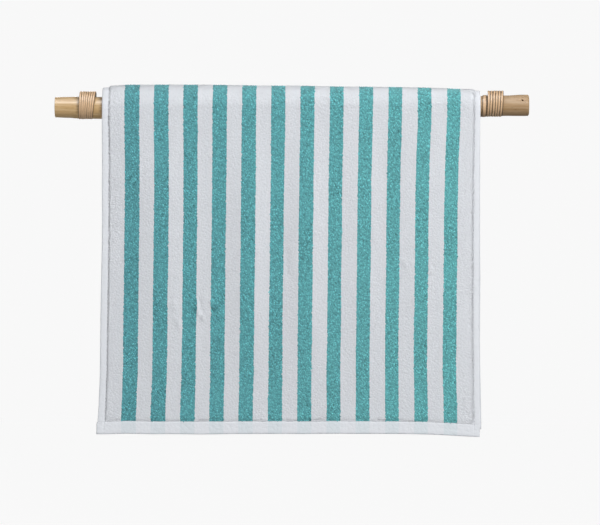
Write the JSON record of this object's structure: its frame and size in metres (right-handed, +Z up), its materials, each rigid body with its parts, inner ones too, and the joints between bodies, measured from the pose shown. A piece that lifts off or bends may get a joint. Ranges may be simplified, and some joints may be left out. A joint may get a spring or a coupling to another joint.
{
  "type": "bath towel on a wooden rail",
  "caption": "Striped terry bath towel folded over a round wooden rail with a wound cane collar at each side of it.",
  "frame": {"origin": "on the rail's line, halfway along it", "axes": "+X along the rail, to the right as the towel's front is seen; +Y from the towel's front drop to its back drop; +Z up"},
  "size_m": [0.88, 0.0721, 0.649],
  "materials": {
    "rail_wood": "satin, pale honey",
    "cane": "satin, split cane",
    "terry": "cotton terry, white with teal stripes, flat white hems"
  },
  "bodies": {
    "root": {"rail": "rail_wood", "lashing_left": "cane", "lashing_right": "cane", "towel": "terry"}
  },
  "joints": []
}
